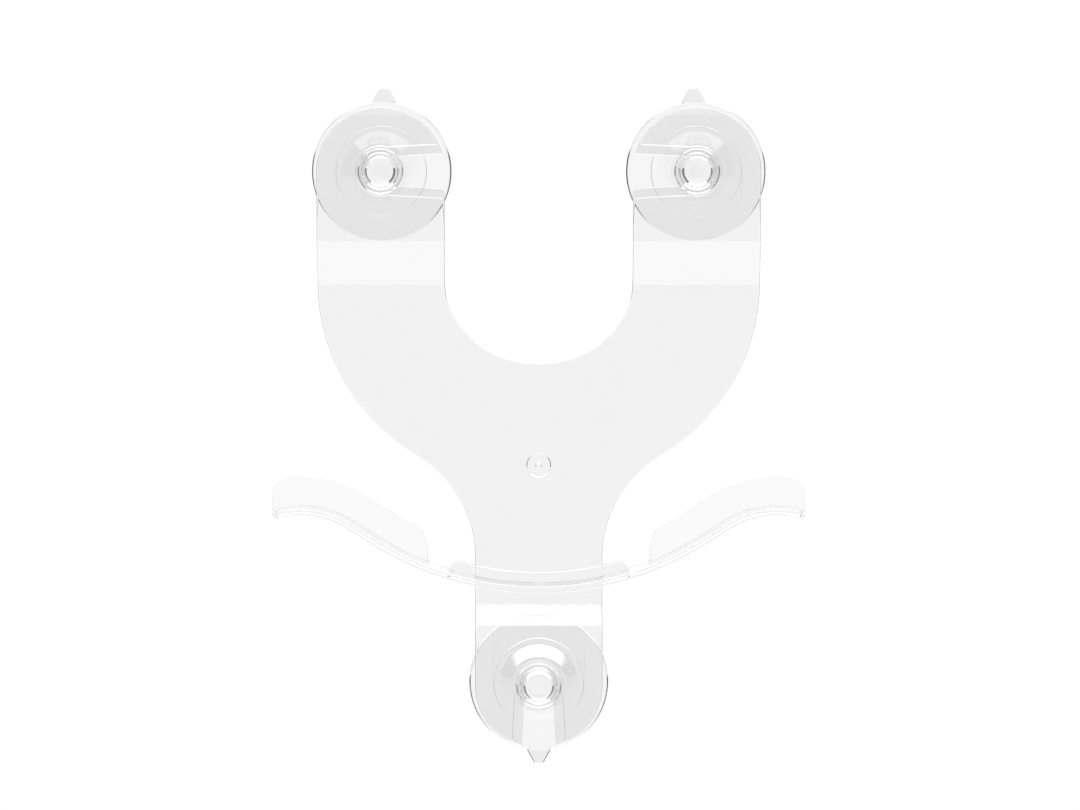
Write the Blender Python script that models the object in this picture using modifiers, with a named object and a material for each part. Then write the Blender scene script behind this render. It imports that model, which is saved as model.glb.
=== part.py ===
"""Clear window cradle on three suction cups, for Blender 4.5.

A moulded Y-shaped bracket stands off a window pane on three soft suction cups. Its two arms and its
foot step forward into raised pads, and each pad has a keyhole slot that a cup's mushroom head slides
into. An S-curved ledge crosses the neck of the Y, and two lips along its front edge keep what stands
on it from sliding off.

Frame: metres, +Z up, +X to the right. The pane is the plane Y = 0 and the cradle stands in front of
it, towards -Y. The origin is on the pane, on the centre line, at half the height between the bottom
cup and the two upper cups. The cradle is symmetric about X = 0.

Run it with blender --background --python part.py, or from the text editor.
"""

import math

import bmesh
import bpy
from mathutils import Matrix, Vector

MM = 0.001

# --- Cup pattern ---------------------------------------------------------------------------------
CUP_SPREAD = 102.4 * MM         # between the axes of the two upper cups
CUP_RISE = 167.0 * MM           # from the bottom cup's axis up to the upper cups' axes

# --- Bracket plate -------------------------------------------------------------------------------
PLATE_WALL = 2.5 * MM
ARM_WIDTH = 41.4 * MM           # arms, neck and pads alike
PLATE_STANDOFF = 3.3 * MM       # pane to the back of the plate
PAD_STANDOFF = 9.8 * MM         # pane to the back of the pads
UPPER_RAMP_DROP = 23.0 * MM     # from the upper cups' axes down to the top of the ramp
UPPER_RAMP_LENGTH = 13.4 * MM
LOWER_RAMP_RISE = 19.9 * MM     # from the bottom cup's axis up to the foot of the ramp
LOWER_RAMP_LENGTH = 5.4 * MM
CROTCH_DEPTH = 26.0 * MM        # dip of the U between the arms, below their straight sides
BOWL_DEPTH = 67.7 * MM          # depth of the elliptical bowl that the outer sides run into
WAIST_RADIUS = 37.5 * MM        # concave round between the bowl and the neck
GATE_RISE = 71.3 * MM           # from the bottom cup's axis up to the moulding gate
GATE_RADIUS = 4.0 * MM
GATE_DEPTH = 0.5 * MM
GATE_NUB_RADIUS = 1.1 * MM
GATE_NUB_HEIGHT = 0.4 * MM      # above the recess

# --- Ledge, along its middle line ----------------------------------------------------------------
LEDGE_RISE = 32.1 * MM          # from the bottom cup's axis up to the ledge's lowest point
LEDGE_WALL = 2.2 * MM
LEDGE_DEPTH = 17.0 * MM         # plate front to the ledge's front edge
CRADLE_RADIUS = 100.0 * MM      # the hollow middle
CRADLE_SWEEP = math.radians(32.2)
FLANK_LENGTH = 9.5 * MM         # straight stretch between the two arcs
WING_RADIUS = 30.0 * MM         # the rounded crest towards the tip
LEDGE_SPAN = 171.2 * MM         # tip to tip

# --- Lips and root rib ---------------------------------------------------------------------------
LIP_START = 35.6 * MM           # from the centre line to the upright inner end
LIP_HEIGHT = 10.6 * MM          # above the ledge's upper face
LIP_WALL = 2.0 * MM
LIP_INNER_ROUND = 8.0 * MM
LIP_OUTER_ROUND = 4.0 * MM
ROOT_EAR = 9.3 * MM             # along the ledge, past each side of the neck
ROOT_HEIGHT = 3.2 * MM          # above the ledge's upper face
ROOT_ROUND = 3.0 * MM
ROOT_PROUD = 1.2 * MM           # in front of the plate
ROOT_INSET = 0.5 * MM           # ledge and rib in front of the plate's back

# --- Keyhole slots -------------------------------------------------------------------------------
POCKET_DEPTH = 1.0 * MM         # sunk floor that the mushroom head rests on
SEAT_CLEARANCE = 0.55 * MM      # radial, around the neck
SLIDE_CLEARANCE = 0.3 * MM      # where the cup slides past the bracket
SLOT_FLARE = 1.1 * MM           # how much each side of the slot opens towards the mouth
POCKET_FLARE = 1.0 * MM         # the same for each side of the pocket

# --- Suction cup ---------------------------------------------------------------------------------
CUP_RADIUS = 22.8 * MM
RIM_WALL = 1.2 * MM
RIM_CHAMFER = 2.4 * MM          # width of the slope from the skirt down to the rim's edge
SKIRT_WALL = 1.3 * MM
CONTACT_WIDTH = 1.0 * MM        # flat ring that meets the pane
HOLLOW_DEPTH = 5.0 * MM
STEP_RADIUS = 14.7 * MM
STEP_HEIGHT = 0.8 * MM
SHOULDER_RADIUS = 9.8 * MM
SHOULDER_ROUND = 1.2 * MM
NECK_RADIUS = 4.3 * MM
HEAD_RADIUS = 7.5 * MM
HEAD_HEIGHT = 5.0 * MM
HEAD_FLANGE = 1.7 * MM          # height of the head's upright edge
HEAD_TOP_RADIUS = 5.4 * MM
HEAD_ROUND = 0.8 * MM
FLANGE_ROUND = 0.6 * MM
DIMPLE_RADIUS = 1.6 * MM
DIMPLE_DEPTH = 0.6 * MM
TAB_LENGTH = 4.5 * MM           # past the rim
TAB_ROOT_WIDTH = 7.2 * MM
TAB_TIP_WIDTH = 2.6 * MM
TAB_TIP_ROUND = 0.9 * MM
TAB_WALL = 1.0 * MM
TAB_LIFT = 0.1 * MM             # underside of the tab above the pane
TAB_LEAN = math.radians(2.0)    # the upper cups sit turned a little, tabs leaning inwards

# --- Facets and solving --------------------------------------------------------------------------
CUP_STEPS = 48                  # around a cup
PROFILE_STEPS = 3               # in a rounded corner of a cup's profile
HOLLOW_RINGS = 6                # across a cup's hollow
ROUND_STEPS = 5                 # in any other rounded corner
OUTLINE_STEP = 4.0 * MM         # longest stretch of a large curve
FINE_STEP = 1.4 * MM            # longest stretch of a small hole's curve
WELD = 0.01 * MM                # points closer than this are one point
SHARP_EDGE = math.radians(30)
HALVINGS = 60                   # of the range in which the waist's tangent is sought
PAST = 5.0 * MM                 # how far a cutter reaches past what it cuts

# --- Places that follow from the sizes -----------------------------------------------------------
UPPER_AXIS_Z = CUP_RISE / 2
LOWER_AXIS_Z = -CUP_RISE / 2
UPPER_AXIS_X = CUP_SPREAD / 2
ARM_HALF = ARM_WIDTH / 2
BOWL_Z = UPPER_AXIS_Z - UPPER_RAMP_DROP - UPPER_RAMP_LENGTH
PLATE_FRONT = -(PLATE_STANDOFF + PLATE_WALL)
LEDGE_FRONT = PLATE_FRONT - LEDGE_DEPTH
LEDGE_BACK = -(PLATE_STANDOFF + ROOT_INSET)
PAD_FRONT = -(PAD_STANDOFF + PLATE_WALL)
SEAT_FRONT = PAD_FRONT + POCKET_DEPTH
HEAD_BASE = -SEAT_FRONT + SLIDE_CLEARANCE       # heights on a cup count from the pane
SHOULDER_TOP = PAD_STANDOFF - SLIDE_CLEARANCE

# Each cup: name, (x, z) of its axis, the direction its keyhole opens in as an angle from +X, and how
# far its tab is turned from straight up, clockwise as seen from the front.
CUPS = (
    ("left", (-UPPER_AXIS_X, UPPER_AXIS_Z), 0.0, TAB_LEAN),
    ("right", (UPPER_AXIS_X, UPPER_AXIS_Z), math.pi, -TAB_LEAN),
    ("bottom", (0.0, LOWER_AXIS_Z), -math.pi / 2, math.pi),
)


# --- Outlines ------------------------------------------------------------------------------------
def arc_points(centre, radii, start, end, longest=OUTLINE_STEP):
    """Points of an arc of a circle or an upright ellipse, both ends included; angles in radians."""
    count = max(4, math.ceil(abs(end - start) * max(radii) / longest))
    angles = [start + (end - start) * step / count for step in range(count + 1)]
    return [(centre[0] + radii[0] * math.cos(a), centre[1] + radii[1] * math.sin(a)) for a in angles]


def rounded(corners, steps=ROUND_STEPS):
    """Closed outline through corners given as (u, v, radius), each corner rounded to its radius."""
    outline = []
    for index, (u, v, radius) in enumerate(corners):
        corner = Vector((u, v))
        if radius == 0:
            outline.append(tuple(corner))
            continue
        before = (Vector(corners[index - 1][:2]) - corner).normalized()
        after = (Vector(corners[(index + 1) % len(corners)][:2]) - corner).normalized()
        half_angle = before.angle(after) / 2
        centre = corner + (before + after).normalized() * radius / math.sin(half_angle)
        first = corner + before * radius / math.tan(half_angle) - centre
        sweep = math.pi - 2 * half_angle
        turn = math.copysign(sweep, before.y * after.x - before.x * after.y)
        for step in range(steps + 1):
            angle = turn * step / steps
            outline.append(tuple(centre + Matrix.Rotation(angle, 2) @ first))
    return outline


def subdivided(outline, longest=OUTLINE_STEP):
    """The closed outline with no stretch longer than the given length."""
    points = []
    for index, start in enumerate(outline):
        end = outline[(index + 1) % len(outline)]
        count = max(1, math.ceil(math.dist(start, end) / longest))
        for step in range(count):
            share = step / count
            points.append((start[0] + (end[0] - start[0]) * share, start[1] + (end[1] - start[1]) * share))
    return points


def waist_tangent():
    """Height of the waist arc's centre and the bowl ellipse's angle where the two touch."""
    centre_x = ARM_HALF + WAIST_RADIUS
    wide = UPPER_AXIS_X + ARM_HALF

    def touch(angle):
        """Height of the centre, and its sideways miss, for an arc that touches the bowl at angle."""
        normal = Vector((math.cos(angle) / wide, math.sin(angle) / BOWL_DEPTH)).normalized()
        x = wide * math.cos(angle) + WAIST_RADIUS * normal.x
        z = BOWL_Z + BOWL_DEPTH * math.sin(angle) + WAIST_RADIUS * normal.y
        return z, x - centre_x

    low, high = -math.pi / 2, 0.0
    for _ in range(HALVINGS):
        middle = (low + high) / 2
        if touch(middle)[1] < 0:
            low = middle
        else:
            high = middle
    return touch(low)[0], low


def plate_outline():
    """Front view of the Y: foot pad, neck, waist, bowl, arms with round ends, and the U between them."""
    waist_z, bowl_angle = waist_tangent()
    waist_centre = (ARM_HALF + WAIST_RADIUS, waist_z)
    wide = UPPER_AXIS_X + ARM_HALF
    narrow = UPPER_AXIS_X - ARM_HALF
    touch_x = wide * math.cos(bowl_angle)
    touch_z = BOWL_Z + BOWL_DEPTH * math.sin(bowl_angle)
    waist_end = math.atan2(touch_z - waist_z, touch_x - waist_centre[0])
    half = arc_points((0, LOWER_AXIS_Z), (ARM_HALF, ARM_HALF), -math.pi / 2, 0)
    half += arc_points(waist_centre, (WAIST_RADIUS, WAIST_RADIUS), math.pi, waist_end)
    half += arc_points((0, BOWL_Z), (wide, BOWL_DEPTH), bowl_angle, 0)[1:]
    half += arc_points((UPPER_AXIS_X, UPPER_AXIS_Z), (ARM_HALF, ARM_HALF), 0, math.pi)
    half += arc_points((0, BOWL_Z), (narrow, CROTCH_DEPTH), 0, -math.pi / 2)
    mirrored = [(-x, z) for x, z in reversed(half[1:-1])]
    return half + mirrored


def keyhole_outline(round_radius, throat_half, mouth_half):
    """Keyhole about the origin, opening towards +u and running out past the pad's edge."""
    reach = ARM_HALF + PAST
    flare = (mouth_half - throat_half) / ARM_HALF
    meet = math.asin(throat_half / round_radius)
    turned = arc_points((0, 0), (round_radius, round_radius), meet, 2 * math.pi - meet, FINE_STEP)
    mouth = throat_half + flare * reach
    return turned + [(reach, -mouth), (reach, mouth)]


def ledge_point(along, above=0.0):
    """Point (x, z) on the ledge's middle line at a signed length from the centre line, moved off it.

    The line is an arc that curves up, a straight flank and an arc that curves down over the wing.
    """
    side = math.copysign(1.0, along)
    length = abs(along)
    arc_length = CRADLE_RADIUS * CRADLE_SWEEP
    slope = min(length, arc_length) / CRADLE_RADIUS
    x = CRADLE_RADIUS * math.sin(slope)
    z = CRADLE_RADIUS * (1 - math.cos(slope))
    flank = min(max(length - arc_length, 0.0), FLANK_LENGTH)
    x += flank * math.cos(CRADLE_SWEEP)
    z += flank * math.sin(CRADLE_SWEEP)
    over = max(length - arc_length - FLANK_LENGTH, 0.0) / WING_RADIUS
    if over > 0:
        x += WING_RADIUS * (math.sin(CRADLE_SWEEP) - math.sin(CRADLE_SWEEP - over))
        z += WING_RADIUS * (math.cos(CRADLE_SWEEP - over) - math.cos(CRADLE_SWEEP))
        slope = CRADLE_SWEEP - over
    x -= above * math.sin(slope)
    z += above * math.cos(slope)
    return side * x, LOWER_AXIS_Z + LEDGE_RISE + z


def wing_end(above):
    """Length along the ledge at which a point at this height off the middle line reaches the tip."""
    start = CRADLE_RADIUS * CRADLE_SWEEP + FLANK_LENGTH
    crest_x = ledge_point(start)[0] + WING_RADIUS * math.sin(CRADLE_SWEEP)
    past_crest = math.asin((LEDGE_SPAN / 2 - crest_x) / (WING_RADIUS + above))
    return start + WING_RADIUS * (CRADLE_SWEEP + past_crest)


def cradle_length(x, above):
    """Length along the hollow middle of the ledge at which a point this high above it stands at x."""
    return CRADLE_RADIUS * math.asin(x / (CRADLE_RADIUS - above))


# --- Blender helpers -----------------------------------------------------------------------------
def clear_scene():
    """Remove every object that the scene starts with."""
    for obj in list(bpy.data.objects):
        bpy.data.objects.remove(obj, do_unlink=True)


def new_collection(name):
    """A collection under the scene's own."""
    collection = bpy.data.collections.new(name)
    bpy.context.scene.collection.children.link(collection)
    return collection


def new_object(name, data, collection):
    """An object in the given collection."""
    obj = bpy.data.objects.new(name, data)
    collection.objects.link(obj)
    return obj


def clear_plastic(name, colour, roughness, ior):
    """Principled material of a see-through plastic."""
    material = bpy.data.materials.new(name)
    material.use_nodes = True
    shader = material.node_tree.nodes["Principled BSDF"]
    shader.inputs["Base Color"].default_value = (*colour, 1.0)
    shader.inputs["Roughness"].default_value = roughness
    shader.inputs["Metallic"].default_value = 0.0
    shader.inputs["IOR"].default_value = ior
    shader.inputs["Transmission Weight"].default_value = 1.0
    return material


def evaluated_mesh(obj):
    """Closed mesh of an object with its modifiers applied and its normals facing out."""
    depsgraph = bpy.context.evaluated_depsgraph_get()
    mesh = bpy.data.meshes.new_from_object(obj.evaluated_get(depsgraph))
    shape = bmesh.new()
    shape.from_mesh(mesh)
    bmesh.ops.remove_doubles(shape, verts=shape.verts, dist=WELD)
    bmesh.ops.recalc_face_normals(shape, faces=shape.faces)
    shape.to_mesh(mesh)
    shape.free()
    return mesh


def flat_solid(name, outline, thickness, collection):
    """Solid about its own XY plane with the given (u, v) outline, drawn as a filled 2D curve."""
    curve = bpy.data.curves.new(name, "CURVE")
    curve.dimensions = "2D"
    curve.fill_mode = "BOTH"
    curve.extrude = thickness / 2
    spline = curve.splines.new("POLY")
    spline.points.add(len(outline) - 1)
    for point, (u, v) in zip(spline.points, outline):
        point.co = (u, v, 0.0, 1.0)
    spline.use_cyclic_u = True
    drawn = new_object(name + "_curve", curve, collection)
    bpy.context.view_layer.update()
    solid = new_object(name, evaluated_mesh(drawn), collection)
    bpy.data.objects.remove(drawn, do_unlink=True)
    return solid


def upright_solid(name, outline, back, front, collection):
    """Solid with the given (x, z) outline that fills the space between two Y planes."""
    solid = flat_solid(name, outline, back - front, collection)
    solid.rotation_euler.x = math.pi / 2
    solid.location.y = (back + front) / 2
    return solid


def line_mesh(name, points):
    """Mesh of one open line through the points."""
    shape = bmesh.new()
    verts = [shape.verts.new(point) for point in points]
    for start, end in zip(verts, verts[1:]):
        shape.edges.new((start, end))
    mesh = bpy.data.meshes.new(name)
    shape.to_mesh(mesh)
    shape.free()
    return mesh


def swept_sheet(name, points, sweep, collection):
    """Open sheet that a line through the points leaves behind as it moves by the sweep vector."""
    mesh = line_mesh(name, points)
    shape = bmesh.new()
    shape.from_mesh(mesh)
    swept = bmesh.ops.extrude_edge_only(shape, edges=shape.edges[:])["geom"]
    moved = [item for item in swept if isinstance(item, bmesh.types.BMVert)]
    bmesh.ops.translate(shape, vec=sweep, verts=moved)
    shape.to_mesh(mesh)
    shape.free()
    return new_object(name, mesh, collection)


def thicken(obj, wall):
    """Give an open sheet its wall, half to each side."""
    solidify = obj.modifiers.new("wall", "SOLIDIFY")
    solidify.thickness = wall
    solidify.offset = 0.0
    solidify.use_even_offset = True


def combine(obj, other, operation):
    """Boolean of one object with another, which becomes a hidden guide."""
    boolean = obj.modifiers.new(other.name, "BOOLEAN")
    boolean.operation = operation
    boolean.object = other
    boolean.solver = "EXACT"
    other.hide_render = True
    other.display_type = "WIRE"


# --- Bracket -------------------------------------------------------------------------------------
def stepped_sheet(collection):
    """Bent sheet that gives the plate, the ramps and the pads their depth, wider than the Y."""
    plate_y = -(PLATE_STANDOFF + PLATE_WALL / 2)
    pad_y = -(PAD_STANDOFF + PLATE_WALL / 2)
    half_width = UPPER_AXIS_X + ARM_WIDTH
    section = [
        (-half_width, pad_y, LOWER_AXIS_Z - ARM_WIDTH),
        (-half_width, pad_y, LOWER_AXIS_Z + LOWER_RAMP_RISE),
        (-half_width, plate_y, LOWER_AXIS_Z + LOWER_RAMP_RISE + LOWER_RAMP_LENGTH),
        (-half_width, plate_y, BOWL_Z),
        (-half_width, pad_y, BOWL_Z + UPPER_RAMP_LENGTH),
        (-half_width, pad_y, UPPER_AXIS_Z + ARM_WIDTH),
    ]
    return swept_sheet("bracket", section, (2 * half_width, 0.0, 0.0), collection)


def add_ledge(bracket, guides):
    """S-curved ledge from just inside the plate to its front edge."""
    half = wing_end(0.0)
    count = 2 * math.ceil(half / OUTLINE_STEP)
    lengths = [half * (2 * step / count - 1) for step in range(count + 1)]
    line = [(x, LEDGE_BACK, z) for x, z in map(ledge_point, lengths)]
    ledge = swept_sheet("ledge", line, (0.0, LEDGE_FRONT - LEDGE_BACK, 0.0), guides)
    thicken(ledge, LEDGE_WALL)
    combine(bracket, ledge, "UNION")


def add_on_ledge(bracket, name, corners, back, front, guides):
    """Upright wall on the ledge, from an outline in (length along the ledge, height off its middle)."""
    outline = [ledge_point(along, above) for along, above in subdivided(rounded(corners))]
    combine(bracket, upright_solid(name, outline, back, front, guides), "UNION")


def add_lips(bracket, guides):
    """Front lip on each wing, with a large round at its inner end and a smaller one at the tip."""
    top = LEDGE_WALL / 2 + LIP_HEIGHT
    for side, name in ((-1, "lip_left"), (1, "lip_right")):
        corners = [
            (side * cradle_length(LIP_START, 0.0), 0.0, 0),
            (side * wing_end(0.0), 0.0, 0),
            (side * wing_end(top), top, LIP_OUTER_ROUND),
            (side * cradle_length(LIP_START, top), top, LIP_INNER_ROUND),
        ]
        add_on_ledge(bracket, name, corners, LEDGE_FRONT + LIP_WALL, LEDGE_FRONT, guides)


def add_root_rib(bracket, guides):
    """Rib that braces the ledge against the plate and ends in a rounded ear past each side of it."""
    top = LEDGE_WALL / 2 + ROOT_HEIGHT
    reach = ARM_HALF + ROOT_EAR
    corners = [
        (-reach, 0.0, 0),
        (reach, 0.0, 0),
        (reach, top, ROOT_ROUND),
        (-reach, top, ROOT_ROUND),
    ]
    add_on_ledge(bracket, "root_rib", corners, LEDGE_BACK, PLATE_FRONT - ROOT_PROUD, guides)


def cut_keyholes(bracket, guides):
    """Slot through each pad and the sunk pocket around it; each opens inwards or down."""
    seat = NECK_RADIUS + SEAT_CLEARANCE
    throat = NECK_RADIUS + SLIDE_CLEARANCE
    channel = HEAD_RADIUS + SLIDE_CLEARANCE
    slot = keyhole_outline(seat, throat, throat + SLOT_FLARE)
    pocket = keyhole_outline(channel + SLIDE_CLEARANCE, channel, channel + POCKET_FLARE)
    for name, (x, z), mouth, _ in CUPS:
        for part, outline, back in (("slot", slot, -PAD_STANDOFF + PAST), ("pocket", pocket, SEAT_FRONT)):
            turn = Matrix.Rotation(mouth, 2)
            placed = [tuple(turn @ Vector(point) + Vector((x, z))) for point in outline]
            cutter = upright_solid(f"{part}_{name}", placed, back, PAD_FRONT - PAST, guides)
            combine(bracket, cutter, "DIFFERENCE")


def cut_gate(bracket, guides):
    """Shallow round recess of the moulding gate, with its cut-off nub in the middle."""
    centre = (0.0, LOWER_AXIS_Z + GATE_RISE)
    ring = arc_points(centre, (GATE_RADIUS, GATE_RADIUS), 0, 2 * math.pi, FINE_STEP)[:-1]
    nub = arc_points(centre, (GATE_NUB_RADIUS, GATE_NUB_RADIUS), 0, 2 * math.pi, FINE_STEP)[:-1]
    recess = upright_solid("gate_recess", ring, PLATE_FRONT + GATE_DEPTH, PLATE_FRONT - PAST, guides)
    combine(bracket, recess, "DIFFERENCE")
    nub_front = PLATE_FRONT + GATE_DEPTH - GATE_NUB_HEIGHT
    stub = upright_solid("gate_nub", nub, PLATE_FRONT + PLATE_WALL / 2, nub_front, guides)
    combine(bracket, stub, "UNION")


def make_bracket(parts, guides, material):
    """One-piece moulded bracket."""
    bracket = stepped_sheet(parts)
    thicken(bracket, PLATE_WALL)
    outline = upright_solid("y_outline", plate_outline(), PAST, PAD_FRONT - PAST, guides)
    combine(bracket, outline, "INTERSECT")
    add_ledge(bracket, guides)
    add_lips(bracket, guides)
    add_root_rib(bracket, guides)
    cut_keyholes(bracket, guides)
    cut_gate(bracket, guides)
    bracket.data.materials.append(material)
    return bracket


# --- Suction cups --------------------------------------------------------------------------------
def hollow_height(radius):
    """Height of the cup's spherical underside above the pane at a radius."""
    edge = CUP_RADIUS - CONTACT_WIDTH
    sphere = (edge**2 + HOLLOW_DEPTH**2) / (2 * HOLLOW_DEPTH)
    return HOLLOW_DEPTH - sphere + math.sqrt(sphere**2 - radius**2)


def cup_profile():
    """Half section of a cup as (radius, height) points, from the top of its axis round to its hollow."""
    head_top = HEAD_BASE + HEAD_HEIGHT
    step_top = hollow_height(STEP_RADIUS) + SKIRT_WALL + STEP_HEIGHT
    rim_inner = CUP_RADIUS - RIM_CHAMFER
    corners = [
        (0.0, head_top - DIMPLE_DEPTH, 0),
        (DIMPLE_RADIUS, head_top - DIMPLE_DEPTH, 0),
        (DIMPLE_RADIUS + DIMPLE_DEPTH, head_top, 0),
        (HEAD_TOP_RADIUS, head_top, HEAD_ROUND),
        (HEAD_RADIUS, HEAD_BASE + HEAD_FLANGE, HEAD_ROUND),
        (HEAD_RADIUS, HEAD_BASE, FLANGE_ROUND),
        (NECK_RADIUS, HEAD_BASE, 0),
        (NECK_RADIUS, SHOULDER_TOP, 0),
        (SHOULDER_RADIUS, SHOULDER_TOP, SHOULDER_ROUND),
        (STEP_RADIUS, step_top, 0),
        (STEP_RADIUS, step_top - STEP_HEIGHT, 0),
        (rim_inner, hollow_height(rim_inner) + SKIRT_WALL, 0),
        (CUP_RADIUS, RIM_WALL, 0),
        (CUP_RADIUS, 0.0, 0),
    ]
    profile = rounded(corners, PROFILE_STEPS)
    edge = CUP_RADIUS - CONTACT_WIDTH
    for ring in range(HOLLOW_RINGS, -1, -1):
        radius = edge * ring / HOLLOW_RINGS
        profile.append((radius, hollow_height(radius)))
    return profile


def tab_outline():
    """Pull tab in the plane of the rim, pointing towards +v from inside the rim."""
    root = CUP_RADIUS - RIM_WALL
    tip = CUP_RADIUS + TAB_LENGTH
    return rounded([
        (-TAB_ROOT_WIDTH / 2, root, 0),
        (TAB_ROOT_WIDTH / 2, root, 0),
        (TAB_TIP_WIDTH / 2, tip, TAB_TIP_ROUND),
        (-TAB_TIP_WIDTH / 2, tip, TAB_TIP_ROUND),
    ])


def make_cup_mesh(guides):
    """Mesh of a cup with its axis along Z, its rim on Z = 0 and its tab towards +Y."""
    section = line_mesh("cup_section", [(radius, 0.0, height) for radius, height in cup_profile()])
    turned = new_object("cup_section", section, guides)
    screw = turned.modifiers.new("turn", "SCREW")
    screw.steps = CUP_STEPS
    screw.render_steps = CUP_STEPS
    screw.use_merge_vertices = True
    screw.merge_threshold = WELD
    tab = flat_solid("cup_tab", tab_outline(), TAB_WALL, guides)
    tab.location.z = TAB_LIFT + TAB_WALL / 2
    combine(turned, tab, "UNION")
    bpy.context.view_layer.update()
    cup = evaluated_mesh(turned)
    bpy.data.objects.remove(turned, do_unlink=True)
    bpy.data.objects.remove(tab, do_unlink=True)
    cup.name = "suction_cup"
    cup.shade_smooth()
    cup.set_sharp_from_angle(angle=SHARP_EDGE)
    return cup


def make_cups(parts, guides, material):
    """The three cups. Each has its origin on its own axis, where that meets the pane."""
    mesh = make_cup_mesh(guides)
    mesh.materials.append(material)
    for name, (x, z), _, tab_turn in CUPS:
        cup = new_object(f"suction_cup_{name}", mesh, parts)
        cup.matrix_world = (
            Matrix.Translation((x, 0.0, z))
            @ Matrix.Rotation(tab_turn, 4, "Y")
            @ Matrix.Rotation(math.pi / 2, 4, "X")
        )


def main():
    """Build the cradle."""
    clear_scene()
    parts = new_collection("window_cradle")
    guides = new_collection("guides")
    bracket_plastic = clear_plastic("clear_bracket_plastic", (0.95, 0.96, 0.96), 0.04, 1.49)
    cup_plastic = clear_plastic("clear_soft_pvc", (0.93, 0.95, 0.95), 0.12, 1.52)
    make_bracket(parts, guides, bracket_plastic)
    make_cups(parts, guides, cup_plastic)


if __name__ == "__main__":
    main()
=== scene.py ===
"""Looks of a clear window cradle on three suction cups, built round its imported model.

The bracket and the three cups are made again as fine solids with rounded edges, and each stands for
its plain CAD node. Solids are built in millimetres in the row's own frame: +X to the right, +Z up, the
pane at Y = 0 and the cradle in front of it at negative Y.
"""

import logging
import math
from collections.abc import Callable, Iterable, Sequence
from dataclasses import dataclass, field
from enum import Enum

import bmesh
import bpy
from mathutils import Matrix, Vector


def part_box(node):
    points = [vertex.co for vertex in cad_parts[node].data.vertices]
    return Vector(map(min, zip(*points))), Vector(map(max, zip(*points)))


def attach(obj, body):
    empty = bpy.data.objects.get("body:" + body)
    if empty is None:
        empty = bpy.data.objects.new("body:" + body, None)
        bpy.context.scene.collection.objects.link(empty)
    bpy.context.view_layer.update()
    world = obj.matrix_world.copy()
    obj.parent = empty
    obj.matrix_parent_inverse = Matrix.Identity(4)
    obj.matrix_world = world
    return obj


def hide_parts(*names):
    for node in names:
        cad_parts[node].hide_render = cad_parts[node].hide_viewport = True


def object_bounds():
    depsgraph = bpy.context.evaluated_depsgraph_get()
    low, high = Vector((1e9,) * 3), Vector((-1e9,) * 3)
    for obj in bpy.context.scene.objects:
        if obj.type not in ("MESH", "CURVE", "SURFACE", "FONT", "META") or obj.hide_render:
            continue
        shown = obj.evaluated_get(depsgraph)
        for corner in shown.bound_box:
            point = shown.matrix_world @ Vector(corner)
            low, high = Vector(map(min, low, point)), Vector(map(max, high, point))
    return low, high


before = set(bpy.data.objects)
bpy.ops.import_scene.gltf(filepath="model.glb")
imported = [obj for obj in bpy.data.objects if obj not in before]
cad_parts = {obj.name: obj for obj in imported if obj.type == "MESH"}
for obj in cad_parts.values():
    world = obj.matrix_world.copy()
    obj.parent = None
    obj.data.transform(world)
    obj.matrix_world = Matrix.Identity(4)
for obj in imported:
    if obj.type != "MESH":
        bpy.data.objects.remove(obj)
CAD_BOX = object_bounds()

LOG = logging.getLogger("window_cradle")
MM = 0.001                          # metres in a millimetre
SHARPEST = 0.3                      # limits how far an inset outline's sharp corners are pulled out
CRISP_DEGREES = 38                  # edges sharper than this stay crisp when a solid is shaded smooth

Pair = tuple[float, float]
Corner = tuple[float, float, float]
Outline = list[Pair]
Place = Callable[[float, float, float], tuple[float, float, float]]


# --- Outlines ------------------------------------------------------------------------------------
def arc(centre: Pair, radii: Pair, start: float, end: float, longest: float = 0.5) -> Outline:
    """Points of an arc of a circle or an upright ellipse, both ends included.

    Args:
        centre: the arc's centre.
        radii: its half width and half height.
        start: the first angle, in radians.
        end: the last angle.
        longest: the longest stretch between two points.

    Returns:
        The points in order.
    """
    count = max(6, math.ceil(abs(end - start) * max(radii) / longest))
    angles = [start + (end - start) * step / count for step in range(count + 1)]
    return [(centre[0] + radii[0] * math.cos(a), centre[1] + radii[1] * math.sin(a)) for a in angles]


def rounded(corners: Sequence[Corner], steps: int = 8) -> Outline:
    """Round each corner of an outline.

    Args:
        corners: (u, v, radius) of each corner; a radius of 0 keeps it sharp.
        steps: the number of stretches in a round.

    Returns:
        The outline's points in order.
    """
    outline: Outline = []
    for index, (u, v, radius) in enumerate(corners):
        corner = Vector((u, v))
        if radius == 0:
            outline.append((u, v))
            continue
        before = (Vector(corners[index - 1][:2]) - corner).normalized()
        after = (Vector(corners[(index + 1) % len(corners)][:2]) - corner).normalized()
        half_angle = before.angle(after) / 2
        centre = corner + (before + after).normalized() * radius / math.sin(half_angle)
        first = corner + before * radius / math.tan(half_angle) - centre
        turn = math.copysign(math.pi - 2 * half_angle, before.y * after.x - before.x * after.y)
        for step in range(steps + 1):
            outline.append(tuple(centre + Matrix.Rotation(turn * step / steps, 2) @ first))
    return outline


def subdivided(outline: Outline, longest: float) -> Outline:
    """Split the long stretches of a closed outline.

    Args:
        outline: the closed outline.
        longest: the longest stretch that stays.

    Returns:
        Its points, with new ones between them.
    """
    points: Outline = []
    for index, start in enumerate(outline):
        end = outline[(index + 1) % len(outline)]
        count = max(1, math.ceil(math.dist(start, end) / longest))
        for step in range(count):
            share = step / count
            points.append((start[0] + (end[0] - start[0]) * share, start[1] + (end[1] - start[1]) * share))
    return points


def signed_area(outline: Outline) -> float:
    """Area inside the outline, positive if it runs anticlockwise."""
    following = outline[1:] + outline[:1]
    return sum(a[0] * b[1] - b[0] * a[1] for a, b in zip(outline, following)) / 2


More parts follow.
